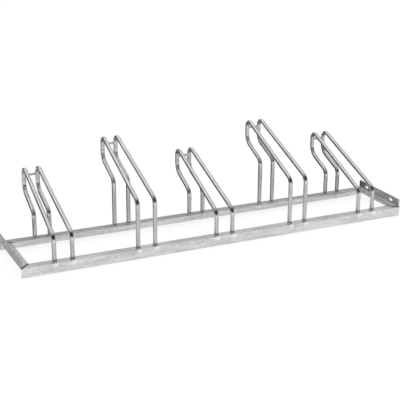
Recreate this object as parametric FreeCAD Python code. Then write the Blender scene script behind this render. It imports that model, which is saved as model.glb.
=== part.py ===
import FreeCAD
import Part
import math
import os

# Floor bike rack for five wheels, alternately low and high: four pieces of
# rolled steel angle mitred into a long flat frame, ten bent tube hoops standing
# on it in pairs, one short tie rod across the back of each pair, and the welds.
#
# Frame of reference: X along the rack, Y from the front rail to the rear rail,
# Z up from the floor. Origin on the floor, midway between the end bars and
# midway between the front face and the rearmost point of the hoops.

# ---------------------------------------------------------------- sizes (mm)

# Places for wheels
place_count = 5
place_pitch = 350.0

# Steel angle: one section for all four bars
flange_width = 40.0
leg_height = 40.0
angle_thickness = 4.0
root_radius = 6.0
toe_radius = 2.5

# Frame
frame_depth = 320.0
mitre_groove = 1.2
corner_bead_radius = 2.5

# Slots in the upstanding legs of the end bars, for linking racks in a row
slot_length = 25.0
slot_width = 11.0
slot_spacing = 190.0
slot_height_on_leg = 20.0

# Hoop tube
tube_diameter = 18.0
tube_wall = 2.0
bend_radius = 25.0

# Hoop pair: clear gap for the tyre, wider at the front than at the rear leg
tyre_gap_front = 56.0
tyre_gap_rear = 46.0

# Side shape of a low hoop, heights above the top of the frame
front_corner_height = 103.0
slope_angle = 22.0
rear_corner_height = 110.0
ear_top_reach = 147.0
ear_heel_reach = 125.0
ear_heel_height = 172.0
high_place_rise = 94.0

# Tie rod across the ears of a pair, below the top corner of the ear
tie_rod_diameter = 10.0
tie_rod_drop = 46.0

# Fillet welds
foot_weld_leg = 3.5
tie_weld_leg = 2.0

# ------------------------------------------------------- sizes worked out

frame_length = place_count * place_pitch
half_length = frame_length / 2.0
frame_top = leg_height
tube_radius = tube_diameter / 2.0
tie_rod_radius = tie_rod_diameter / 2.0

# Hoop feet stand on the middle of each rail's flange
front_foot_y = flange_width / 2.0
rear_foot_y = frame_depth - flange_width / 2.0
front_half_spacing = (tyre_gap_front + tube_diameter) / 2.0
rear_half_spacing = (tyre_gap_rear + tube_diameter) / 2.0

# Each hoop is flat and stands in an upright plane through its two feet, which
# is turned a little from the Y direction because the pair narrows to the rear
foot_run = math.hypot(rear_foot_y - front_foot_y, front_half_spacing - rear_half_spacing)
plan_turn = math.asin((front_half_spacing - rear_half_spacing) / foot_run)


def vec(x, y, z):
    return FreeCAD.Vector(x, y, z)


# ------------------------------------------------------------- steel angle

def angle_section(place):
    """Face of the rolled angle. place(a, b) puts a point that lies a along the
    flange and b along the leg, both from the outer corner, into space."""
    f, g, t = flange_width, leg_height, angle_thickness
    rr, tr = root_radius, toe_radius
    k = 1.0 - math.sqrt(0.5)
    edges = [
        Part.makeLine(place(0, 0), place(f, 0)),
        Part.makeLine(place(f, 0), place(f, t - tr)),
        Part.Arc(place(f, t - tr), place(f - k * tr, t - k * tr), place(f - tr, t)).toShape(),
        Part.makeLine(place(f - tr, t), place(t + rr, t)),
        Part.Arc(place(t + rr, t), place(t + k * rr, t + k * rr), place(t, t + rr)).toShape(),
        Part.makeLine(place(t, t + rr), place(t, g - tr)),
        Part.Arc(place(t, g - tr), place(t - k * tr, g - k * tr), place(t - tr, g)).toShape(),
        Part.makeLine(place(t - tr, g), place(0, g)),
        Part.makeLine(place(0, g), place(0, 0)),
    ]
    return Part.Face(Part.Wire(edges))


def corner_wedge(side_x, side_y):
    """Upright three-sided prism that holds everything on the end bar's side of
    the mitre at one corner of the frame."""
    corner_x = side_x * half_length
    corner_y = 0.0 if side_y < 0 else frame_depth
    reach = flange_width + leg_height
    low = -leg_height
    tall = 3.0 * leg_height + frame_top
    out = 2.0 * reach
    a = vec(corner_x + side_x * out, corner_y + side_y * out, low)
    b = vec(corner_x - side_x * reach, corner_y - side_y * reach, low)
    c = vec(corner_x + side_x * out, corner_y - side_y * reach, low)
    return Part.Face(Part.makePolygon([a, b, c, a])).extrude(vec(0, 0, tall))


def mitre_line(side_x, side_y, near, far):
    """Two points over the mitre line, near and far from the outer corner,
    measured along X."""
    corner_x = side_x * half_length
    corner_y = 0.0 if side_y < 0 else frame_depth
    return [vec(corner_x - side_x * d, corner_y - side_y * d, 0) for d in (near, far)]


def bar_along(p, q, size, z):
    """Square bar standing on its edge along the line p-q, centred at height z."""
    run = q.sub(p)
    across = vec(-run.y, run.x, 0).normalize().multiply(size)
    up = vec(0, 0, size)
    mid = p.add(vec(0, 0, z))
    pts = [mid.add(across), mid.add(up), mid.sub(across), mid.sub(up)]
    return Part.Face(Part.makePolygon(pts + pts[:1])).extrude(run)


corners = [(sx, sy) for sx in (-1, 1) for sy in (-1, 1)]
wedges = {c: corner_wedge(*c) for c in corners}
grooves = []
for c in corners:
    p, q = mitre_line(c[0], c[1], -mitre_groove, flange_width + mitre_groove)
    grooves.append(bar_along(p, q, mitre_groove, frame_top))


def rail(at_rear):
    """Front or rear rail: flange on top and pointing into the frame, leg down
    on the outside, standing on the floor."""
    def place(a, b):
        y = frame_depth - a if at_rear else a
        return vec(-half_length, y, frame_top - b)
    body = angle_section(place).extrude(vec(frame_length, 0, 0))
    side_y = 1 if at_rear else -1
    for sx in (-1, 1):
        body = body.cut(wedges[(sx, side_y)])
    return body.cut(Part.makeCompound(grooves))


def slot_cutter(x, y, z):
    """Round-ended slot along Y, through a leg of the end bar."""
    half_straight = (slot_length - slot_width) / 2.0
    r = slot_width / 2.0
    deep = 4.0 * angle_thickness
    ends = []
    for s in (-1, 1):
        foot = vec(x - deep / 2.0, y + s * half_straight, z)
        ends.append(Part.makeCylinder(r, deep, foot, vec(1, 0, 0)))
    box = Part.makeBox(deep, 2.0 * half_straight, slot_width,
                       vec(x - deep / 2.0, y - half_straight, z - r))
    return box.fuse(ends)


def end_bar(side_x):
    """End bar: flange level with the rails' flanges, leg standing up outside."""
    base_z = frame_top - angle_thickness

    def place(a, b):
        return vec(side_x * (half_length - a), 0, base_z + b)
    body = angle_section(place).extrude(vec(0, frame_depth, 0))
    keep = wedges[(side_x, -1)].fuse(wedges[(side_x, 1)])
    middle = Part.makeBox(4.0 * flange_width, frame_depth, 4.0 * leg_height,
                          vec(side_x * half_length - 2.0 * flange_width, 0, -leg_height))
    for sy in (-1, 1):
        edge_y = 0.0 if sy < 0 else frame_depth - flange_width
        middle = middle.cut(Part.makeBox(8.0 * flange_width, flange_width, 8.0 * leg_height,
                                         vec(side_x * half_length - 4.0 * flange_width, edge_y,
                                             -2.0 * leg_height)))
    body = body.common(keep.fuse(middle))
    body = body.cut(Part.makeCompound(grooves))
    for s in (-1, 1):
        body = body.cut(slot_cutter(side_x * (half_length - angle_thickness / 2.0),
                                    frame_depth / 2.0 + s * slot_spacing / 2.0,
                                    base_z + slot_height_on_leg))
    return body.removeSplitter()


# ------------------------------------------------------------------- hoops

def place_x(place):
    return (place - (place_count - 1) / 2.0) * place_pitch


def is_high(place):
    return place % 2 == 1


def hoop_corners(rise):
    """Corners of the hoop's centre line, as (distance behind the front foot in
    the hoop's own plane, height), before the bends are rounded."""
    ear_top_run = foot_run + ear_top_reach
    front_corner = frame_top + front_corner_height + rise
    return [
        (0.0, frame_top),
        (0.0, front_corner),
        (ear_top_run, front_corner + ear_top_run * math.tan(math.radians(slope_angle))),
        (foot_run + ear_heel_reach, frame_top + ear_heel_height + rise),
        (foot_run, frame_top + rear_corner_height + rise),
        (foot_run, frame_top),
    ]


def stand(x, side, run, z):
    """Point of a hoop's plane in space. side is -1 for the left hoop of a pair
    and 1 for the right one."""
    lean = -side * plan_turn
    return vec(x + side * front_half_spacing + run * math.sin(lean),
               front_foot_y + run * math.cos(lean), z)


def rounded_path(points):
    """Wire through the corners, each rounded to the bend radius."""
    edges = []
    start = points[0]
    for before, corner, after in zip(points, points[1:], points[2:]):
        back = before.sub(corner).normalize()
        on = after.sub(corner).normalize()
        half = math.acos(max(-1.0, min(1.0, back.dot(on)))) / 2.0
        trim = bend_radius / math.tan(half)
        a = corner.add(FreeCAD.Vector(back).multiply(trim))
        b = corner.add(FreeCAD.Vector(on).multiply(trim))
        middle_way = back.add(on).normalize()
        depth = bend_radius / math.sin(half) - bend_radius
        m = corner.add(middle_way.multiply(depth))
        edges.append(Part.makeLine(start, a))
        edges.append(Part.Arc(a, m, b).toShape())
        start = b
    edges.append(Part.makeLine(start, points[-1]))
    return Part.Wire(edges)


def hoop_path(place, side):
    rise = high_place_rise if is_high(place) else 0.0
    x = place_x(place)
    return rounded_path([stand(x, side, run, z) for run, z in hoop_corners(rise)])


def swept(path, radius):
    """Round bar of the given radius along the path, which starts straight up."""
    start = path.OrderedVertexes[0].Point
    disc = Part.Wire(Part.makeCircle(radius, start, vec(0, 0, 1)))
    return path.makePipeShell([disc], True, False)


def foot_points(place, side):
    x = place_x(place)
    return stand(x, side, 0.0, frame_top), stand(x, side, foot_run, frame_top)


# ------------------------------------------------------ tie rods and welds

def tie_rod_point(place, side):
    """Where the tie rod's axis meets the centre line of one hoop's ear."""
    rise = high_place_rise if is_high(place) else 0.0
    pts = hoop_corners(rise)
    top, heel = pts[2], pts[3]
    share = tie_rod_drop / (top[1] - heel[1])
    run = top[0] + (heel[0] - top[0]) * share
    return stand(place_x(place), side, run, top[1] - tie_rod_drop)


def ring_bead(foot, axis, inner, leg):
    """Fillet weld round a bar that stands on a face: a ring with a
    three-cornered section."""
    a = vec(inner, 0, 0)
    b = vec(inner + leg, 0, 0)
    c = vec(inner, 0, leg)
    section = Part.Face(Part.makePolygon([a, b, c, a]))
    ring = section.revolve(vec(0, 0, 0), vec(0, 0, 1), 360)
    ring.Placement = FreeCAD.Placement(foot, FreeCAD.Rotation(vec(0, 0, 1), axis))
    return ring


def corner_bead(side_x, side_y):
    """Weld run under the flanges, along the mitre at one corner."""
    start = angle_thickness + root_radius + corner_bead_radius
    stop = flange_width - corner_bead_radius
    p, q = mitre_line(side_x, side_y, start, stop)
    under = vec(0, 0, frame_top - angle_thickness)
    p = p.add(under)
    q = q.add(under)
    run = q.sub(p)
    rod = Part.makeCylinder(corner_bead_radius, run.Length, p, run)
    size = 4.0 * flange_width
    above = Part.makeBox(size, size, corner_bead_radius * 2.0,
                         vec(p.x - size / 2.0, p.y - size / 2.0, p.z))
    return rod.cut(above)


# ------------------------------------------------------------------- build

pieces = {}
pieces["front_rail"] = rail(False)
pieces["rear_rail"] = rail(True)
pieces["left_end_bar"] = end_bar(-1)
pieces["right_end_bar"] = end_bar(1)

tie_beads = []
side_names = {-1: "left", 1: "right"}
for place in range(place_count):
    solid_bars = []
    foot_beads = []
    for side in (-1, 1):
        path = hoop_path(place, side)
        outer = swept(path, tube_radius)
        bore = swept(path, tube_radius - tube_wall)
        solid_bars.append(outer)
        pieces["hoop_%d_%s" % (place + 1, side_names[side])] = outer.cut(bore)
        for foot in foot_points(place, side):
            foot_beads.append(ring_bead(foot, vec(0, 0, 1), tube_radius, foot_weld_leg))
    pieces["foot_welds_%d" % (place + 1)] = Part.makeCompound(foot_beads)
    pair = Part.makeCompound(solid_bars)
    a = tie_rod_point(place, -1)
    b = tie_rod_point(place, 1)
    rod = Part.makeCylinder(tie_rod_radius, b.sub(a).Length, a, b.sub(a)).cut(pair)
    pieces["tie_rod_%d" % (place + 1)] = max(rod.Solids, key=lambda s: s.Volume)
    for point, way in ((a, b.sub(a)), (b, a.sub(b))):
        inward = FreeCAD.Vector(way).normalize()
        seat = point.add(FreeCAD.Vector(inward).multiply(tube_radius - tie_weld_leg))
        bead = ring_bead(seat, inward, tie_rod_radius, 2.0 * tie_weld_leg).cut(pair)
        tie_beads.append(max(bead.Solids, key=lambda s: s.Volume))

pieces["tie_rod_welds"] = Part.makeCompound(tie_beads)
pieces["corner_welds"] = Part.makeCompound([corner_bead(*c) for c in corners])

# The rearmost point of the hoops is on the outside of the ear's top bend
path = hoop_path(0, 1)
rearmost = max(p.y for p in path.discretize(Deflection=0.001)) + tube_radius
to_origin = vec(0, -rearmost / 2.0, 0)

os.makedirs("parts", exist_ok=True)
for name, shape in pieces.items():
    shape = shape.copy()
    shape.translate(to_origin)
    shape.exportStep(os.path.join("parts", name + ".step"))
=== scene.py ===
"""Floor bike rack for five wheels: the finish of its galvanised steel, the
smooth hoops, the rippled welds and the studio around it.

Everything is in metres, in the rack's own frame: X along the rack, Y from the
front rail to the rear rail, Z up from the floor."""

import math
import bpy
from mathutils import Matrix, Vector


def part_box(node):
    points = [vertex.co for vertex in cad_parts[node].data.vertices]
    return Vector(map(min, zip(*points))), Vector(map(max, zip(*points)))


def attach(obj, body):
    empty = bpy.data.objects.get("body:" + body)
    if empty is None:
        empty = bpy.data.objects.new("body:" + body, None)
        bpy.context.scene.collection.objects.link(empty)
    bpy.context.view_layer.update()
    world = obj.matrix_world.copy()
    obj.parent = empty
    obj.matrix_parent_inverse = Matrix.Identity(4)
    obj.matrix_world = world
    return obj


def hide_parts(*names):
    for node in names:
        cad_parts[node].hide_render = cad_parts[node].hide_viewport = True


bl_info = {
    "name": "Floor bike rack",
    "version": (1, 0, 0),
    "blender": (4, 5, 0),
    "location": "View3D > Sidebar > Bike rack",
    "description": "Finishes a galvanised floor rack for five bicycles and sets its studio",
    "category": "Object",
}

import bpy
import numpy as np
from bpy.props import FloatProperty, FloatVectorProperty, IntProperty, PointerProperty, StringProperty
from mathutils import Matrix, Vector

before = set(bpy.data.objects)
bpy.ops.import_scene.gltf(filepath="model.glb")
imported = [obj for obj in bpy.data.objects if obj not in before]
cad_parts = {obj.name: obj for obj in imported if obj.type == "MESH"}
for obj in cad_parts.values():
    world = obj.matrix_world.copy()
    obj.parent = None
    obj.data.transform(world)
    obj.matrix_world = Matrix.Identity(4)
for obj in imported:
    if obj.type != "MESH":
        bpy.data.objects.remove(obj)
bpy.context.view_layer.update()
PLACES = sorted({int(name.split("_")[1]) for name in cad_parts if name.startswith("hoop_")})
SIDES = {"left": -1, "right": 1}
MM = 0.001

# Pattern of the zinc: widths of the streaks and of the finer grains, and how
# deep the skin is over them. The jump takes each hoop to its own part of it.
STREAK_WIDTH = 35.7 * MM
SKIN_GRAIN = 4 * MM
SKIN_DEPTH = 0.05 * MM
WELD_GRAIN = 1.5 * MM
WELD_DEPTH = 0.06 * MM
EDGE_GRAIN = 6 * MM
PATTERN_JUMP = 7

# Beads: rings to each ripple, and the power of the section, for which 2 is a
# flat face and 1 a quarter circle.
RINGS_PER_RIPPLE = 7
DOME = 1.4

# Studio: width of the film in mm, which the lens goes with, and half the
# floor's width.
FILM_WIDTH = 36.0
FLOOR_REACH = 60.0


# ------------------------------------------------------------------ settings

def length(name, description, default):
    """A size in metres, shown in the scene's own unit."""
    return FloatProperty(name=name, description=description, default=default, min=0.0,
                         unit="LENGTH", precision=4)


def angle(name, description, degrees):
    """An angle, given in degrees."""
    return FloatProperty(name=name, description=description, default=math.radians(degrees),
                         unit="ROTATION")


def tint(name, description, default):
    """An sRGB colour as six hex digits."""
    return StringProperty(name=name, description=description, default=default)


def number(name, description, default, **limits):
    """A plain number or a share."""
    return FloatProperty(name=name, description=description, default=default, **limits)


class HoopSizes(bpy.types.PropertyGroup):
    """The bent tube of one hoop."""
    tube_diameter: length("Tube diameter", "Outside of the hoop's tube", 0.018)
    leg_bend: length("Leg bend radius", "Bends at the leg tops, on the tube's centre line", 0.038)
    ear_bend: length("Ear bend radius", "Bend at the top of the ear, on the tube's centre line", 0.025)
    heel_bend: length("Heel bend radius", "Bend at the ear's heel, on the tube's centre line", 0.055)
    bend_ovality: number("Bend ovality", "Share by which a bend is flatter than round", 0.05,
                         min=0.0, max=0.2)
    feet_apart: length("Feet apart", "From the front foot to the rear foot", 0.280)
    gap_front: length("Gap at the front", "Clear gap for the tyre at the front legs", 0.056)
    gap_rear: length("Gap at the rear", "Clear gap for the tyre at the rear legs", 0.046)
    front_corner: length("Front corner", "Front bend's corner above the frame, low place", 0.103)
    rear_corner: length("Rear corner", "Rear bend's corner above the frame, low place", 0.110)
    slope: angle("Slope", "Rise of the long sloping run", 22.0)
    ear_top_reach: length("Ear top reach", "Top corner of the ear behind the rear foot", 0.1375)
    ear_heel_reach: length("Ear heel reach", "Heel of the ear behind the rear foot", 0.1375)
    ear_heel_height: length("Ear heel height", "Heel above the frame, low place", 0.168)
    sides: IntProperty(name="Sides", description="Faces round the tube", default=56, min=8)
    bend_step: angle("Bend step", "Turn between two rings of a bend", 3.5)
    run_step: length("Run step", "Distance between two rings of a straight run", 0.012)


class WeldSizes(bpy.types.PropertyGroup):
    """The fillet welds."""
    foot_leg: length("Foot weld leg", "Leg of the fillet round each foot", 0.0035)
    tie_leg: length("Tie rod weld leg", "Leg of the fillet at each end of a tie rod", 0.0030)
    tie_rod_diameter: length("Tie rod diameter", "Round bar across the ears", 0.010)
    ripple_pitch: length("Ripple pitch", "Distance between two ripples of a bead", 0.0016)
    ripple_height: number("Ripple height", "Share of the leg by which the ripples rise", 0.09,
                          min=0.0, max=0.5)
    corner_radius: length("Corner bead radius", "Weld run under each mitre", 0.0025)
    corner_start: length("Corner bead start", "From the outer corner, measured along X", 0.0125)
    corner_stop: length("Corner bead stop", "From the outer corner, measured along X", 0.0375)


class ZincFinish(bpy.types.PropertyGroup):
    """Hot-dip galvanised steel, fresh and unpainted."""
    angle_light: tint("Angle, light crystals", "Brightest zinc on the rolled angle", "E2E3E3")
    angle_dark: tint("Angle, dark crystals", "Dullest zinc on the rolled angle", "BEC0C0")
    tube_light: tint("Tube, light crystals", "Brightest zinc on the tubes", "C6C7C7")
    tube_dark: tint("Tube, dark crystals", "Dullest zinc on the tubes", "ADAFAF")
    weld_colour: tint("Weld", "Zinc over a weld bead", "E6E8E8")
    # Paler patches on the front face below the front feet: their colour and their share at the middle.
    below_feet_colour: tint("Zinc runs", "Thick pale zinc that ran down below the feet", "FAFBFB")
    below_feet_cover: number("Zinc run cover", "Share of the run's colour at its middle", 0.55)
    # Painted shade along the mitres, over the duller zinc of their welds: its colour and its share at
    # the band's middle.
    mitre_shade_colour: tint("Mitres", "Dull zinc over the ground welds of the mitres", "505252")
    mitre_shade_cover: number("Mitre cover", "Share of the mitre's colour at its middle", 0.85)
    angle_crystal: length("Angle crystals", "Width of a zinc crystal on the thick angle", 0.009)
    tube_crystal: length("Tube crystals", "Width of a zinc crystal on the thin tube", 0.005)


class StudioSettings(bpy.types.PropertyGroup):
    """Camera, floor and light."""
    camera_place: FloatVectorProperty(
        name="Camera place", description="Where the photograph was taken from",
        default=(-1.78573, -3.71186, 1.54929), subtype="TRANSLATION", precision=5)
    azimuth: angle("Azimuth", "Camera's turn round the rack, from the front", -25.57)
    elevation: angle("Elevation", "Camera's height as an angle", 19.03)
    roll: angle("Roll", "Camera's turn about its own axis", 0.55)
    lens: number("Lens", "Focal length on a 36 mm wide film, in mm", 90.71)
    shift: FloatVectorProperty(
        name="Shift", description="Shift of the picture, as shares of its width",
        size=2, default=(-0.0037, -0.0019), precision=4)
    room_light: number("Room light", "White light from all round", 0.9)
    ceiling_power: number("Ceiling power", "Large soft lamp above, in watts", 22.0)
    front_power: number("Front power", "Soft lamp beside the camera, in watts", 8.0)
    floor_colour: tint("Floor", "Pale floor", "808080")
    floor_lift: number("Floor lift", "Glow that takes the pale floor to white", 0.81)
    horizon_colour: tint("Horizon card", "Low band behind, mirrored by the flat tops", "D4D4D4")
    left_card_colour: tint(
        "Left card", "Low band behind on the left, mirrored by the slopes' dark edge", "5C5C5C")
    side_card_colour: tint(
        "Side card", "Low band on the left, mirrored by the slopes further right", "8A8A8A")
    front_card_colour: tint("Front card", "Dark band behind the camera, mirrored by the bends", "1C1C1C")
    well_card_colour: tint("Well card", "Sheet on the floor inside the frame", "F0F0F0")
    back_card_colour: tint("Back card", "Sheet on the floor behind the rack", "8C8C8C")
    board_colour: tint(
        "Board", "Board over the front feet, mirrored by the rear bends and the ears", "C4C4C4")
    left_end_colour: tint(
        "Left end card", "Sheet beside the left end bar, mirrored by its outer face", "B4B4B4")
    right_end_colour: tint(
        "Right end cards", "Sheets beside the right end bar, mirrored by its inner face", "404040")
    low_card_colour: tint(
        "Low card", "Low board behind the rack, mirrored by the rear rail's top", "0E0E0E")
    sky_glow: number("Sky glow", "Strength of the card overhead", 1.15)
    strip_glow: number("Strip glow", "Strength of the narrow card that lights the slopes", 1.7)
    front_glow: number("Front glow", "Strength of the low cards on the camera's side", 1.6)


# --------------------------------------------------------------- mesh making

def grid_quads(rows, columns, wrap_rows=False):
    """Quads between neighbouring points of a grid stored row by row. Each row
    is a closed ring; with wrap_rows the last row joins the first."""
    row = np.arange(rows if wrap_rows else rows - 1)[:, None]
    column = np.arange(columns)[None, :]
    after = (row + 1) % rows
    beside = (column + 1) % columns
    corners = [row * columns + column, row * columns + beside,
               after * columns + beside, after * columns + column]
    return np.stack(np.broadcast_arrays(*corners), -1).reshape(-1, 4)


def end_fans(rows, columns):
    """Triangles that close a tube of rings at both ends, round the two points
    that are stored after the rings."""
    here = np.arange(columns)
    beside = (here + 1) % columns
    first_middle = np.full(columns, rows * columns)
    last = (rows - 1) * columns
    return [np.stack([first_middle, beside, here], -1),
            np.stack([first_middle + 1, here + last, beside + last], -1)]


def inside_out(points, faces):
    """True when the closed surface's faces point inwards: the pyramids from
    the middle of the piece to its faces then add up to less than nothing."""
    a, b, c = (points[faces[:, k]] - points.mean(0) for k in (0, 1, 2))
    volume = np.einsum("ij,ij->i", a, np.cross(b, c)).sum()
    if faces.shape[1] == 4:
        d = points[faces[:, 3]] - points.mean(0)
        volume += np.einsum("ij,ij->i", a, np.cross(c, d)).sum()
    return volume < 0


def piece(name, parts, material, nodes, straight=None):
    """A smooth object made of closed surfaces, each given as (points, list of
    face arrays), in place of the named nodes of the frame. straight gives, for
    each point, where it would lie if the piece weren't bent, for the finish."""
    points = []
    faces = []
    count = 0
    for part_points, part_faces in parts:
        flip = inside_out(part_points, part_faces[0])
        for block in part_faces:
            faces += ((block[:, ::-1] if flip else block) + count).tolist()
        points.append(part_points)
        count += len(part_points)
    points = np.concatenate(points)
    mesh = bpy.data.meshes.new(name)
    mesh.from_pydata(points.tolist(), [], faces)
    mesh.polygons.foreach_set("use_smooth", np.ones(len(mesh.polygons), bool))
    if straight is not None:
        attribute = mesh.attributes.new("straight", "FLOAT_VECTOR", "POINT")
        attribute.data.foreach_set("vector", straight.astype(np.float32).ravel())
    mesh.update()
    mesh.materials.append(material)
    made = bpy.data.objects.new(name, mesh)
    bpy.context.scene.collection.objects.link(made)
    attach(made, "root")
    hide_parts(*nodes)


# ----------------------------------------------------------------- materials

def linear(hex_digits):
    """Linear colour of an sRGB hex value, with an alpha of 1."""
    srgb = [int(hex_digits[k:k + 2], 16) / 255 for k in (0, 2, 4)]
    return [c / 12.92 if c <= 0.04045 else ((c + 0.055) / 1.055) ** 2.4 for c in srgb] + [1.0]


def add(tree, kind, inputs=None, **settings):
    """Adds a node with its settings. inputs gives, by socket name or number, a
    value or the output that feeds it."""
    made = tree.nodes.new(kind)
    for key, value in settings.items():
        setattr(made, key, value)
    for key, value in (inputs or {}).items():
        if isinstance(value, bpy.types.NodeSocket):
            tree.links.new(value, made.inputs[key])
        else:
            made.inputs[key].default_value = value
    return made


def calc(tree, operation, *values, **settings):
    """One step of arithmetic on numbers and outputs."""
    return add(tree, "ShaderNodeMath", dict(enumerate(values)), operation=operation,
               **settings).outputs[0]


def noise(tree, place, width, detail, roughness=0.5):
    """Soft spots about that many metres wide, with finer ones on them. Gives
    the node's outputs."""
    return add(tree, "ShaderNodeTexNoise", {"Vector": place, "Scale": 1 / width, "Detail": detail,
                                            "Roughness": roughness}).outputs


def spread(tree, value, near, far, to_near=0.0, to_far=1.0):
    """to_near where the value is under near, to_far where it is over far, and
    in proportion between."""
    return add(tree, "ShaderNodeMapRange",
               {"Value": value, "From Min": near, "From Max": far,
                "To Min": to_near, "To Max": to_far}).outputs[0]


def fade(tree, value, near, far):
    """1 where the value is under near, 0 where it is over far, smooth between."""
    return add(tree, "ShaderNodeMapRange",
               {"Value": value, "From Min": near, "From Max": far, "To Min": 1.0, "To Max": 0.0},
               interpolation_type="SMOOTHSTEP").outputs[0]


def mixed_colour(tree, share, base, over):
    """Base colour with that share of the other laid over it."""
    return add(tree, "ShaderNodeMix", {"Factor": share, "A": base, "B": over},
               data_type="RGBA").outputs["Result"]


def new_material(name):
    """A material without any nodes yet, and its node tree."""
    material = bpy.data.materials.new(name)
    material.use_nodes = True
    material.node_tree.nodes.clear()
    return material, material.node_tree


def galvanised(tree, place, crystal, light, dark, rough, smooth, fineness, lean):
    """Zinc as it freezes on steel: a patchwork of crystals, each with its own
    grey, gloss and slight lean, under broad cloudy streaks left by draining.
    place is a position in metres and crystal the width of one crystal.
    fineness says how much finer the streaks are along each axis, so that less
    than 1 draws them out, and lean is the most by which a crystal tilts. Gives
    the colour, roughness and normal."""
    wobble_width = crystal / 1.2
    wobble_reach = 0.7 * crystal
    wobble = noise(tree, place, wobble_width, detail=2.0)["Color"]
    bent = add(tree, "ShaderNodeVectorMath",
               {0: wobble, 1: (wobble_reach,) * 3, 2: place}, operation="MULTIPLY_ADD")
    cells = add(tree, "ShaderNodeTexVoronoi", {"Vector": bent.outputs[0], "Scale": 1 / crystal})
    grey = add(tree, "ShaderNodeSeparateColor", {"Color": cells.outputs["Color"]}).outputs["Red"]
    drawn_out = add(tree, "ShaderNodeMapping", {"Vector": place, "Scale": fineness})
    streaks = noise(tree, drawn_out.outputs[0], STREAK_WIDTH, detail=5.0, roughness=0.62)["Fac"]
    crystal_share = 0.2
    bright = calc(tree, "MULTIPLY_ADD", grey, crystal_share, streaks)
    colour = mixed_colour(tree, spread(tree, bright, 0.35, 0.85), dark, light)
    gloss = spread(tree, bright, 0.3, 1.0, rough, smooth)
    tilt = add(tree, "ShaderNodeVectorMath",
               {0: cells.outputs["Color"], 1: (2 * lean,) * 3, 2: (-lean,) * 3},
               operation="MULTIPLY_ADD")
    surface = add(tree, "ShaderNodeNewGeometry").outputs["Normal"]
    tilted = add(tree, "ShaderNodeVectorMath", {0: surface, 1: tilt.outputs[0]})
    faced = add(tree, "ShaderNodeVectorMath", {0: tilted.outputs[0]}, operation="NORMALIZE")
    skin = noise(tree, place, SKIN_GRAIN, detail=3.0)["Fac"]
    streak_height = 3.0
    swell = calc(tree, "MULTIPLY_ADD", streaks, streak_height, skin)
    relief = add(tree, "ShaderNodeBump",
                 {"Height": swell, "Distance": SKIN_DEPTH, "Strength": 1.0, "Normal": faced.outputs[0]})
    return colour, gloss, relief.outputs[0]


def metal(tree, colour, roughness, normal):
    """Bare metal with that colour, roughness and normal, on the output."""
    shader = add(tree, "ShaderNodeBsdfPrincipled",
                 {"Base Color": colour, "Metallic": 1.0, "Roughness": roughness, "Normal": normal})
    add(tree, "ShaderNodeOutputMaterial", {"Surface": shader.outputs[0]})


def object_place(tree):
    """Position on the rack, in metres."""
    return add(tree, "ShaderNodeTexCoord").outputs["Object"]


def mitre_shade_mark(tree, x, y, z, ragged):
    """Painted shade where the frame's mitres meet, laid over the duller zinc of their welded and ground
    seams: a dark band along the line on which the distances from the end and from the long side agree."""
    low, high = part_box("front_rail")
    _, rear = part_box("rear_rail")
    from_end = calc(tree, "SUBTRACT", high.x, calc(tree, "ABSOLUTE", x))
    from_side = calc(tree, "MINIMUM", calc(tree, "SUBTRACT", y, low.y),
                     calc(tree, "SUBTRACT", rear.y, y))
    apart = calc(tree, "ABSOLUTE", calc(tree, "SUBTRACT", from_end, from_side))
    raggedness = 4 * MM
    band = fade(tree, calc(tree, "MULTIPLY_ADD", ragged, raggedness, apart), near=5 * MM, far=10 * MM)
    off_top = calc(tree, "ABSOLUTE", calc(tree, "SUBTRACT", high.z, z))
    on_top = fade(tree, off_top, near=1 * MM, far=3 * MM)
    return calc(tree, "MULTIPLY", band, on_top)


def below_feet_mark(tree, x, y, z, ragged, tube):
    """Paler patches on the front face below the front feet: spots that
    repeat with the places, wider than the tube and fading downwards. tube is
    the tube's width."""
    left, right = (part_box("hoop_%d_%s" % (PLACES[0], side)) for side in SIDES)
    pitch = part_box("hoop_%d_left" % PLACES[1])[0].x - left[0].x
    low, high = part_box("front_rail")
    half_apart = (right[1].x - left[0].x - tube) / 2
    here = calc(tree, "ABSOLUTE", calc(tree, "WRAP", x, pitch / 2, -pitch / 2))
    beside = calc(tree, "ABSOLUTE", calc(tree, "SUBTRACT", here, half_apart))
    raggedness = 6 * MM
    width = fade(tree, calc(tree, "MULTIPLY_ADD", ragged, raggedness, beside), near=4 * MM, far=15 * MM)
    height = fade(tree, calc(tree, "SUBTRACT", high.z, z), near=6 * MM, far=24 * MM)
    at_front = fade(tree, calc(tree, "SUBTRACT", y, low.y), near=1 * MM, far=6 * MM)
    return calc(tree, "MULTIPLY", calc(tree, "MULTIPLY", width, height), at_front)


def angle_zinc(finish, tube):
    """Hot-rolled steel angle, hot-dip galvanised: thick satin zinc with wide
    crystals, drawn into streaks along the bar where it drained, with painted shade along the
    mitres and paler patches on the front face below the front feet."""
    material, tree = new_material("hot_dip_zinc_on_rolled_angle")
    place = object_place(tree)
    colour, roughness, normal = galvanised(
        tree, place, finish.angle_crystal, linear(finish.angle_light), linear(finish.angle_dark),
        rough=0.50, smooth=0.34, fineness=(0.25, 1.0, 1.6), lean=0.012)
    x, y, z = add(tree, "ShaderNodeSeparateXYZ", {0: place}).outputs
    ragged = calc(tree, "SUBTRACT", noise(tree, place, EDGE_GRAIN, detail=3.0)["Fac"], 0.5)
    # Paler patches on the front face below the front feet.
    run = calc(tree, "MULTIPLY", below_feet_mark(tree, x, y, z, ragged, tube), finish.below_feet_cover)
    # Painted shade of the gaps at the mitres.
    mitre = calc(tree, "MULTIPLY", mitre_shade_mark(tree, x, y, z, ragged), finish.mitre_shade_cover)
    pale = mixed_colour(tree, run, colour, linear(finish.below_feet_colour))
    marked = mixed_colour(tree, mitre, pale, linear(finish.mitre_shade_colour))
    metal(tree, marked, roughness, normal)
    return material


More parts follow.
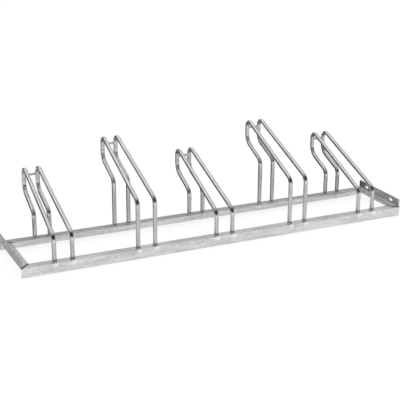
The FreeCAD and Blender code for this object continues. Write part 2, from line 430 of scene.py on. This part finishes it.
def tube_zinc(finish):
    """Drawn steel tube, galvanised: thin bright zinc with small crystals and
    fine streaks that follow the tube through its bends."""
    material, tree = new_material("bright_zinc_on_drawn_tube")
    place = add(tree, "ShaderNodeAttribute", attribute_name="straight").outputs["Vector"]
    colour, roughness, normal = galvanised(
        tree, place, finish.tube_crystal, linear(finish.tube_light), linear(finish.tube_dark),
        rough=0.30, smooth=0.18, fineness=(2.0, 2.0, 0.4), lean=0.014)
    metal(tree, colour, roughness, normal)
    return material


def bar_zinc(finish):
    """Round steel bar, galvanised, a little duller than the tube."""
    material, tree = new_material("zinc_on_round_bar")
    colour, roughness, normal = galvanised(
        tree, object_place(tree), finish.tube_crystal, linear(finish.tube_light),
        linear(finish.angle_dark), rough=0.36, smooth=0.24, fineness=(0.5, 1.5, 1.5), lean=0.014)
    metal(tree, colour, roughness, normal)
    return material


def weld_zinc(finish):
    """Zinc over a weld bead: thick, matt and grey, because the weld's silicon
    makes the alloy grow through to the surface."""
    material, tree = new_material("dull_zinc_on_weld_bead")
    grain = noise(tree, object_place(tree), WELD_GRAIN, detail=4.0)["Fac"]
    roughness = spread(tree, grain, 0.3, 0.7, to_near=0.60, to_far=0.80)
    shade = spread(tree, grain, 0.25, 0.75, to_near=0.85, to_far=1.10)
    colour = add(tree, "ShaderNodeVectorMath",
                 {0: linear(finish.weld_colour)[:3], "Scale": shade}, operation="SCALE")
    relief = add(tree, "ShaderNodeBump", {"Height": grain, "Distance": WELD_DEPTH, "Strength": 1.0})
    metal(tree, colour.outputs[0], roughness, relief.outputs[0])
    return material


def weld_material(finish):
    """The one finish that all welds share."""
    return bpy.data.materials.get("dull_zinc_on_weld_bead") or weld_zinc(finish)


# --------------------------------------------------------------------- hoops

def rounded_line(corners, radii, bend_step, run_step):
    """Points along straight runs joined by arcs of those radii, with each
    point's way forward, how far it lies along the line, and how deep it is in
    a bend, from 0 at the bend's ends to 1 at its middle. An arc's centre lies
    on the line that halves its corner."""
    points, ways, bends = [], [], []
    start = corners[0]
    for before, corner, after, radius in zip(corners, corners[1:], corners[2:], radii):
        back = (before - corner) / np.linalg.norm(before - corner)
        on = (after - corner) / np.linalg.norm(after - corner)
        half = math.acos(np.clip(back @ on, -1, 1)) / 2
        first = corner + back * radius / math.tan(half)
        centre = corner + (back + on) / np.linalg.norm(back + on) * radius / math.sin(half)
        turn = math.pi - 2 * half
        rings = max(2, int(np.linalg.norm(first - start) / run_step))
        run = np.linspace(0, 1, rings, endpoint=False)
        points.append(start + run[:, None] * (first - start))
        ways.append(np.repeat(-back[None], len(run), 0))
        bends.append(np.zeros(len(run)))
        swing = np.linspace(0, turn, max(3, int(turn / bend_step)), endpoint=False)[:, None]
        out = (first - centre) / radius
        points.append(centre + radius * (out * np.cos(swing) - back * np.sin(swing)))
        ways.append(-back * np.cos(swing) - out * np.sin(swing))
        bends.append(np.sin(swing[:, 0] / turn * math.pi) ** 0.5)
        start = corner + on * radius / math.tan(half)
    run = np.linspace(0, 1, max(2, int(np.linalg.norm(corners[-1] - start) / run_step)))
    points.append(start + run[:, None] * (corners[-1] - start))
    ways.append(np.repeat(on[None], len(run), 0))
    bends.append(np.zeros(len(run)))
    points = np.concatenate(points)
    steps = np.linalg.norm(np.diff(points, axis=0), axis=1)
    runs = np.concatenate([[0.0], np.cumsum(steps)])
    return points, np.concatenate(ways), runs, np.concatenate(bends)


class Hoop:
    """Where one hoop stands, from its solid's box and the sizes. The outline
    gives its corners as (run, height) in the hoop's plane, where run starts at
    the front foot. A high place rises over the first place, which is low."""

    def __init__(self, sizes, place, side_name):
        side = SIDES[side_name]
        low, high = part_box("hoop_%d_%s" % (place, side_name))
        _, low_place_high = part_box("hoop_%d_%s" % (PLACES[0], side_name))
        self.radius = sizes.tube_diameter / 2
        self.floor = low.z
        self.rise = high.z - low_place_high.z
        foot_x = low.x + self.radius if side < 0 else high.x - self.radius
        narrowing = (sizes.gap_front - sizes.gap_rear) / 2
        self.foot_run = math.hypot(sizes.feet_apart, narrowing)
        self.foot = np.array([foot_x, low.y + self.radius, 0.0])
        turn = math.asin(narrowing / self.foot_run)
        self.along = np.array([-side * math.sin(turn), math.cos(turn), 0.0])
        self.across = np.array([math.cos(turn), side * math.sin(turn), 0.0])
        self.inward = -side * self.across
        top_run = self.foot_run + sizes.ear_top_reach
        front = self.floor + sizes.front_corner + self.rise
        self.outline = [
            (0.0, self.floor),
            (0.0, front),
            (top_run, front + top_run * math.tan(sizes.slope)),
            (self.foot_run + sizes.ear_heel_reach, self.floor + sizes.ear_heel_height + self.rise),
            (self.foot_run, self.floor + sizes.rear_corner + self.rise),
            (self.foot_run, self.floor)]

    def at(self, run, z):
        """Point of the hoop's plane, run behind the front foot and z up."""
        return self.foot + run * self.along + np.array([0.0, 0.0, z])


def hoop_surface(sizes, hoop):
    """Tube carried along the hoop's line. The ring at each point is
    centre + radius * (cos(turn) * inward normal + sin(turn) * plane's normal),
    a little flatter towards the middle of each bend. straight holds the same
    tube before bending, so a pattern can follow it."""
    radii = (sizes.leg_bend, sizes.ear_bend, sizes.heel_bend, sizes.leg_bend)
    line, way, run, bend = rounded_line([hoop.at(*corner) for corner in hoop.outline],
                                        radii, sizes.bend_step, sizes.run_step)
    turn = np.linspace(0, 2 * math.pi, sizes.sides, endpoint=False)
    normal = np.cross(way, hoop.across)
    flat = 1 - sizes.bend_ovality * bend[:, None, None]
    ring = (np.cos(turn)[None, :, None] * normal[:, None, :] * flat
            + np.sin(turn)[None, :, None] * hoop.across[None, None, :])
    points = line[:, None, :] + hoop.radius * ring
    straight = np.stack(np.broadcast_arrays(
        hoop.radius * np.cos(turn)[None, :], hoop.radius * np.sin(turn)[None, :], run[:, None]), -1)
    straight = straight + PATTERN_JUMP * hoop.foot[[1, 2, 0]]
    rows = len(line)
    points = np.concatenate([points.reshape(-1, 3), line[:1], line[-1:]])
    straight = np.concatenate([straight.reshape(-1, 3), straight[0, :1], straight[-1, -1:]])
    return points, [grid_quads(rows, sizes.sides)] + end_fans(rows, sizes.sides), straight


# --------------------------------------------------------------------- welds

def uneven(turn, seed):
    """A hand's slow unevenness round a bead: 1 with two small waves on it."""
    slow = 0.07 * np.sin(2 * turn + 1.7 * seed)
    quick = 0.05 * np.sin(5 * turn + 0.9 * seed)
    return 1 + slow + quick


def bead_section(count):
    """Across a fillet from its top, on the bar, to its toe, on the seat: the
    shares of the leg away from the bar and up from the seat, which are the
    sine and cosine of a quarter turn to the power DOME, so that the face is
    slightly domed. Two more points close the section inside the steel. shown
    is 1 for the points of the face and 0 for those two."""
    buried_out = [0.6, -0.12]
    buried_up = [-0.10, -0.10]
    swing = np.linspace(0, math.pi / 2, count)
    out = np.concatenate([np.sin(swing) ** DOME, buried_out])
    up = np.concatenate([np.cos(swing) ** DOME, buried_up])
    shown = np.concatenate([np.ones(count), [0.0, 0.0]])
    return out, up, shown


def ripples(along, lag, height):
    """Crescents across a bead: 1 with a cosine along it that lags in the middle
    of the face, where the pool froze last. along and lag count in ripples."""
    return 1 + height * np.cos(2 * math.pi * (along[:, None] - lag))


def bead_ring(inner, leg, sizes, seed, points_across):
    """Ring of weld round a bar: the turns of its sections, and for each turn
    how far the section's points lie away from the bar and up from the seat.
    The ripples lag most where out and up are alike, in the middle."""
    count = round(2 * math.pi * (inner + leg / 2) / sizes.ripple_pitch)
    turn = np.linspace(0, 2 * math.pi, count * RINGS_PER_RIPPLE, endpoint=False)
    out, up, shown = bead_section(points_across)
    lag = 0.8 * np.sqrt(np.clip(out * up, 0, 1))
    wave = ripples(turn * count / (2 * math.pi), lag, sizes.ripple_height * shown)
    size = leg * uneven(turn, seed)[:, None] * wave
    return turn[:, None], size * out, size * up


def foot_bead(foot, inner, leg, sizes, seed):
    """Ring of weld round a tube that stands on a flat face at foot. Its leg on
    the face is a little shorter than the one up the tube."""
    turn, out, up = bead_ring(inner, leg, sizes, seed, points_across=9)
    face_share = 0.97
    away = inner + face_share * out
    points = np.stack([foot[0] + away * np.cos(turn), foot[1] + away * np.sin(turn), foot[2] + up], -1)
    return points.reshape(-1, 3), [grid_quads(*out.shape, wrap_rows=True)]


def tie_bead(centre, inward, tube_way, tube_radius, inner, leg, sizes, seed):
    """Ring of weld where a round bar meets a tube. At each point the seat is
    the tube's skin: its height over the tube's middle is the root of
    tube radius squared less the squared distance beside the tube's axis."""
    turn, out, up = bead_ring(inner, leg, sizes, seed, points_across=8)
    away = inner + out
    off_axis = away * np.sin(turn)
    seat = np.sqrt(tube_radius ** 2 - off_axis ** 2)
    points = (centre + (seat + up)[..., None] * inward
              + (away * np.cos(turn))[..., None] * tube_way
              + off_axis[..., None] * np.cross(inward, tube_way))
    return points.reshape(-1, 3), [grid_quads(*out.shape, wrap_rows=True)]


def run_bead(start, stop, radius, sizes, seed):
    """Straight weld run on the underside of a face, a half-round rod with
    rounded ends: towards each end the radius shrinks as the root of the
    distance from it."""
    points_across = 13
    end_gap = 0.4 * MM
    tip_gap = 0.2 * MM
    full_radius = 0.93 * radius
    taper_reach = 1.5 * radius
    waves = 6
    way = stop - start
    reach = np.linalg.norm(way)
    way = way / reach
    side = np.array([-way[1], way[0], 0.0])
    steps = int(reach / sizes.ripple_pitch * RINGS_PER_RIPPLE)
    along = np.linspace(end_gap, reach - end_gap, steps)
    buried_across = [-0.9, 0.9]
    buried_down = [-0.12, -0.12]
    swing = np.linspace(0, math.pi, points_across)
    across = np.concatenate([np.cos(swing), buried_across])
    down = np.concatenate([np.sin(swing), buried_down])
    shown = np.concatenate([np.ones(points_across), [0.0, 0.0]])
    taper = np.sqrt(np.clip(np.minimum(along, reach - along) / taper_reach, 0, 1))
    lag = 0.6 * np.clip(down, 0, 1)
    wave = ripples(along / sizes.ripple_pitch, lag, sizes.ripple_height * shown)
    size = full_radius * (taper * uneven(along / reach * waves, seed))[:, None] * wave
    points = (start + along[:, None, None] * way + (size * across)[..., None] * side
              - (size * down)[..., None] * np.array([0.0, 0.0, 1.0]))
    points = np.concatenate([points.reshape(-1, 3), start[None] + way * tip_gap,
                             stop[None] - way * tip_gap])
    return points, [grid_quads(*size.shape)] + end_fans(*size.shape)


# ----------------------------------------------------------------- operators

def paint(names, material):
    """Gives nodes of the frame a finish and leaves their shape alone."""
    for name in names:
        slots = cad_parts[name].material_slots
        if not slots:
            raise RuntimeError("node %s has no material slot" % name)
        for slot in slots:
            slot.material = material


class RACK_OT_frame(bpy.types.Operator):
    """Finishes the two rails and the two end bars"""
    bl_idname = "rack.frame"
    bl_label = "Angle frame"

    def execute(self, context):
        names = ["front_rail", "rear_rail", "left_end_bar", "right_end_bar"]
        paint(names, angle_zinc(context.scene.rack_zinc, context.scene.rack_hoops.tube_diameter))
        return {"FINISHED"}


class RACK_OT_hoops(bpy.types.Operator):
    """Makes the ten hoops as smooth bent tubes"""
    bl_idname = "rack.hoops"
    bl_label = "Hoops"

    def execute(self, context):
        sizes = context.scene.rack_hoops
        material = tube_zinc(context.scene.rack_zinc)
        for place in PLACES:
            for side_name in SIDES:
                node = "hoop_%d_%s" % (place, side_name)
                points, faces, straight = hoop_surface(sizes, Hoop(sizes, place, side_name))
                piece(node + "_tube", [(points, faces)], material, [node], straight)
        return {"FINISHED"}


class RACK_OT_tie_rods(bpy.types.Operator):
    """Finishes the five tie rods"""
    bl_idname = "rack.tie_rods"
    bl_label = "Tie rods"

    def execute(self, context):
        paint(["tie_rod_%d" % place for place in PLACES], bar_zinc(context.scene.rack_zinc))
        return {"FINISHED"}


class RACK_OT_foot_welds(bpy.types.Operator):
    """Makes the rippled welds round the feet"""
    bl_idname = "rack.foot_welds"
    bl_label = "Foot welds"

    def execute(self, context):
        sizes = context.scene.rack_hoops
        welds = context.scene.rack_welds
        material = weld_material(context.scene.rack_zinc)
        for place in PLACES:
            beads = []
            for side_name in SIDES:
                hoop = Hoop(sizes, place, side_name)
                for run in (0.0, hoop.foot_run):
                    # Makes no two beads uneven in the same way.
                    own_seed = 4 * place + SIDES[side_name] + 9 * run
                    beads.append(foot_bead(hoop.at(run, hoop.floor), hoop.radius,
                                           welds.foot_leg, welds, own_seed))
            piece("foot_beads_%d" % place, beads, material, ["foot_welds_%d" % place])
        return {"FINISHED"}


class RACK_OT_tie_welds(bpy.types.Operator):
    """Makes the rippled welds at the ends of the tie rods"""
    bl_idname = "rack.tie_welds"
    bl_label = "Tie rod welds"

    def execute(self, context):
        sizes = context.scene.rack_hoops
        welds = context.scene.rack_welds
        beads = []
        for place in PLACES:
            low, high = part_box("tie_rod_%d" % place)
            rod = (low + high) / 2
            for side_name in SIDES:
                hoop = Hoop(sizes, place, side_name)
                ear_top, ear_heel = hoop.outline[2:4]
                centre = hoop.at((rod.y - hoop.foot[1]) / hoop.along[1], rod.z)
                tube_way = hoop.at(*ear_heel) - hoop.at(*ear_top)
                tube_way /= np.linalg.norm(tube_way)
                beads.append(tie_bead(centre, hoop.inward, tube_way, hoop.radius,
                                      welds.tie_rod_diameter / 2, welds.tie_leg, welds, place))
        material = weld_material(context.scene.rack_zinc)
        piece("tie_rod_beads", beads, material, ["tie_rod_welds"])
        return {"FINISHED"}


class RACK_OT_corner_welds(bpy.types.Operator):
    """Makes the weld runs under the four mitres"""
    bl_idname = "rack.corner_welds"
    bl_label = "Corner welds"

    def execute(self, context):
        welds = context.scene.rack_welds
        low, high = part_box("front_rail")
        _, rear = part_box("rear_rail")
        flange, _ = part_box("left_end_bar")
        beads = []
        for x, way_x in ((low.x, 1), (high.x, -1)):
            for y, way_y in ((low.y, 1), (rear.y, -1)):
                corner = np.array([x, y, flange.z])
                way = np.array([way_x, way_y, 0.0])
                beads.append(run_bead(corner + way * welds.corner_start,
                                      corner + way * welds.corner_stop,
                                      welds.corner_radius, welds, x + y))
        material = weld_material(context.scene.rack_zinc)
        piece("corner_beads", beads, material, ["corner_welds"])
        return {"FINISHED"}


class RACK_OT_studio(bpy.types.Operator):
    """Sets the pale floor, the soft light and the camera"""
    bl_idname = "rack.studio"
    bl_label = "Studio"

    def execute(self, context):
        studio = context.scene.rack_studio
        room(context.scene, studio)
        floor(studio)
        cards(studio)
        lamps(studio)
        camera(context.scene, studio)
        return {"FINISHED"}


# -------------------------------------------------------------------- studio

def seen_directly(tree):
    """1 for camera, glossy and transmission rays, 0 for others."""
    path = add(tree, "ShaderNodeLightPath").outputs
    total = calc(tree, "ADD", path["Is Camera Ray"], path["Is Glossy Ray"])
    return calc(tree, "ADD", total, path["Is Transmission Ray"], use_clamp=True)


def room(scene, studio):
    """White room: plainly white where it is seen, softer as a light."""
    world = bpy.data.worlds.new("white_room")
    world.use_nodes = True
    tree = world.node_tree
    tree.nodes.clear()
    strength = spread(tree, seen_directly(tree), 0.0, 1.0, studio.room_light, 1.0)
    light = add(tree, "ShaderNodeBackground", {"Color": (1, 1, 1, 1), "Strength": strength})
    add(tree, "ShaderNodeOutputWorld", {"Surface": light.outputs[0]})
    scene.world = world


def floor(studio):
    """Wide pale floor that keeps the rack's shadow. Where it is seen directly,
    a glow lifts it to white."""
    material, tree = new_material("pale_floor")
    paint_layer = add(tree, "ShaderNodeBsdfDiffuse", {"Color": linear(studio.floor_colour)})
    amount = calc(tree, "MULTIPLY", seen_directly(tree), studio.floor_lift)
    glow = add(tree, "ShaderNodeEmission", {"Strength": amount})
    both = add(tree, "ShaderNodeAddShader", {0: paint_layer.outputs[0], 1: glow.outputs[0]})
    add(tree, "ShaderNodeOutputMaterial", {"Surface": both.outputs[0]})
    mesh = bpy.data.meshes.new("floor")
    corners = [(FLOOR_REACH * x, FLOOR_REACH * y, 0) for x, y in ((-1, -1), (1, -1), (1, 1), (-1, 1))]
    mesh.from_pydata(corners, [], [(0, 1, 2, 3)])
    mesh.materials.append(material)
    made = bpy.data.objects.new("floor", mesh)
    bpy.context.scene.collection.objects.link(made)


def card(name, points, faces, colour, strength=1.0):
    """Card that only reflections show, as photographers put round bright metal
    so that its edges stand out from a white ground."""
    material, tree = new_material(name)
    shade = add(tree, "ShaderNodeEmission", {"Color": linear(colour), "Strength": strength})
    add(tree, "ShaderNodeOutputMaterial", {"Surface": shade.outputs[0]})
    mesh = bpy.data.meshes.new(name)
    mesh.from_pydata(points, [], faces)
    mesh.materials.append(material)
    made = bpy.data.objects.new(name, mesh)
    for kind in ("camera", "diffuse", "transmission", "volume_scatter", "shadow"):
        setattr(made, "visible_" + kind, False)
    bpy.context.scene.collection.objects.link(made)


def sky_card(name, away, around, up, colour, strength=1.0):
    """Card curved round the rack, away metres off, between two bearings, in
    degrees from the back towards the right, and two heights in degrees:
    away * (sin bearing * cos height, cos bearing * cos height, sin height)."""
    rows, columns = 9, 33
    bearing, height = np.meshgrid(np.radians(np.linspace(*around, columns)),
                                  np.radians(np.linspace(*up, rows)))
    points = away * np.stack([np.sin(bearing) * np.cos(height), np.cos(bearing) * np.cos(height),
                              np.sin(height)], -1)
    row, column = np.meshgrid(np.arange(rows - 1), np.arange(columns - 1), indexing="ij")
    first = row * columns + column
    faces = np.stack([first, first + 1, first + columns + 1, first + columns], -1)
    card(name, points.reshape(-1, 3).tolist(), faces.reshape(-1, 4).tolist(), colour, strength)


def sheet(name, x_range, y_range, z, colour, strength=1.0):
    """Card that lies flat, between two places along X and two along Y, in
    metres."""
    left, right = x_range
    near, far = y_range
    points = [(left, near, z), (right, near, z), (right, far, z), (left, far, z)]
    card(name, points, [(0, 1, 2, 3)], colour, strength)


def board(name, x_range, y, z_range, colour):
    """Card that stands along the rack, between two places along X and two
    heights, in metres."""
    left, right = x_range
    low, high = z_range
    points = [(left, y, low), (right, y, low), (right, y, high), (left, y, high)]
    card(name, points, [(0, 1, 2, 3)], colour)


def cards(studio):
    """What the bright metal mirrors. Round the rack: a pale band low behind it
    for the flat tops, two darker ones on the left for the dark edge of the
    slopes, a dark one behind the camera for the spots in the bends, and bright
    ones above and low on the camera's side for the highlights. Near it: grey
    sheets on the floor inside, behind and at both ends of the frame, a low
    dark board behind it for the rear rail's top, and a pale board over the
    front feet that keeps the ears and rear bends from going dark."""
    white = "FFFFFF"
    sky_card("horizon_card", 9.0, (0, 90), (-2, 24), studio.horizon_colour)
    sky_card("left_card", 8.8, (-46, 0), (-2, 34), studio.left_card_colour)
    sky_card("side_card", 8.8, (-110, -46), (-2, 34), studio.side_card_colour)
    sky_card("front_card", 8.6, (-260, -92), (13, 60), studio.front_card_colour)
    sky_card("front_glow_card", 8.7, (-235, -125), (-1, 9), white, studio.front_glow)
    sky_card("sky_card", 8.4, (-100, 110), (36, 88), white, studio.sky_glow)
    sky_card("strip_card", 8.2, (-80, -20), (42, 60), white, studio.strip_glow)
    sheet("well_card", (-0.84, 0.84), (-0.19, 0.02), MM, studio.well_card_colour)
    sheet("back_card", (-0.86, 1.60), (0.13, 1.60), MM, studio.back_card_colour)
    sheet("far_card", (-5.0, 1.6), (1.6, 6.0), MM, studio.back_card_colour)
    sheet("left_end_card", (-1.16, -0.89), (-0.21, 0.54), MM, studio.left_end_colour)
    sheet("right_end_card", (0.70, 0.84), (-0.17, 0.035), 2 * MM, studio.right_end_colour)
    sheet("right_rear_card", (0.70, 0.84), (0.14, 0.36), 2 * MM, studio.right_end_colour)
    board("low_card", (-0.95, 1.35), 0.30, (0.02, 0.17), studio.low_card_colour)
    board("board_card", (-3.0, 1.4), -0.33, (0.55, 1.55), studio.board_colour)
    sheet("near_glow_card", (-5.0, 3.0), (-6.0, -1.1), MM, white, studio.front_glow)


def lamp(name, place, target, size, power):
    """Soft lamp that faces a point, its size in metres and its power in watts.
    The cards stand in for it in reflections."""
    data = bpy.data.lights.new(name, "AREA")
    data.shape = "RECTANGLE"
    data.size, data.size_y = size
    data.energy = power
    made = bpy.data.objects.new(name, data)
    made.location = place
    made.rotation_euler = (Vector(target) - Vector(place)).to_track_quat("-Z", "Y").to_euler()
    made.visible_glossy = False
    bpy.context.scene.collection.objects.link(made)


def lamps(studio):
    """One wide soft lamp above and behind, one beside the camera."""
    lamp("ceiling", place=(0.0, 0.6, 3.2), target=(0.0, 0.0, 0.0), size=(3.6, 2.4),
         power=studio.ceiling_power)
    lamp("front", place=(-2.6, -3.0, 2.4), target=(0.0, 0.0, 0.15), size=(1.6, 1.2),
         power=studio.front_power)


def camera(scene, studio):
    """Camera at the photograph's place. Its back axis points from the rack to
    the camera: (sin a cos e, -cos a cos e, sin e) for azimuth a and elevation e."""
    a, e = studio.azimuth, studio.elevation
    back = Vector((math.sin(a) * math.cos(e), -math.cos(a) * math.cos(e), math.sin(e)))
    right = Vector((0, 0, 1)).cross(back).normalized()
    turn = Matrix.Rotation(studio.roll, 3, back)
    right = turn @ right
    up = back.cross(right)
    data = bpy.data.cameras.new("camera")
    data.lens = studio.lens
    data.sensor_width = FILM_WIDTH
    data.shift_x, data.shift_y = studio.shift
    data.clip_end = 200.0
    made = bpy.data.objects.new("camera", data)
    pose = Matrix((right, up, back)).transposed().to_4x4()
    pose.translation = Vector(studio.camera_place)
    made.matrix_world = pose
    scene.collection.objects.link(made)
    scene.camera = made
    scene.view_settings.view_transform = "Standard"


# -------------------------------------------------------------------- add-on

STEPS = (RACK_OT_frame, RACK_OT_hoops, RACK_OT_tie_rods, RACK_OT_foot_welds, RACK_OT_tie_welds,
         RACK_OT_corner_welds, RACK_OT_studio)
GROUPS = {"rack_hoops": HoopSizes, "rack_welds": WeldSizes, "rack_zinc": ZincFinish,
          "rack_studio": StudioSettings}


class RACK_PT_panel(bpy.types.Panel):
    """Lists the steps and their settings"""
    bl_idname = "RACK_PT_panel"
    bl_label = "Floor bike rack"
    bl_space_type = "VIEW_3D"
    bl_region_type = "UI"
    bl_category = "Bike rack"

    def draw(self, context):
        for step in STEPS:
            self.layout.operator(step.bl_idname)
        for name, group in GROUPS.items():
            box = self.layout.box()
            for key in group.__annotations__:
                box.prop(getattr(context.scene, name), key)


def register():
    for group in GROUPS.values():
        bpy.utils.register_class(group)
    for name, group in GROUPS.items():
        setattr(bpy.types.Scene, name, PointerProperty(type=group))
    for step in STEPS:
        bpy.utils.register_class(step)
    bpy.utils.register_class(RACK_PT_panel)


def unregister():
    bpy.utils.unregister_class(RACK_PT_panel)
    for step in reversed(STEPS):
        bpy.utils.unregister_class(step)
    for name in GROUPS:
        delattr(bpy.types.Scene, name)
    for group in GROUPS.values():
        bpy.utils.unregister_class(group)


def main():
    """Runs every step in order."""
    register()
    for step in STEPS:
        family, verb = step.bl_idname.split(".")
        getattr(getattr(bpy.ops, family), verb)()


if __name__ == "__main__":
    main()
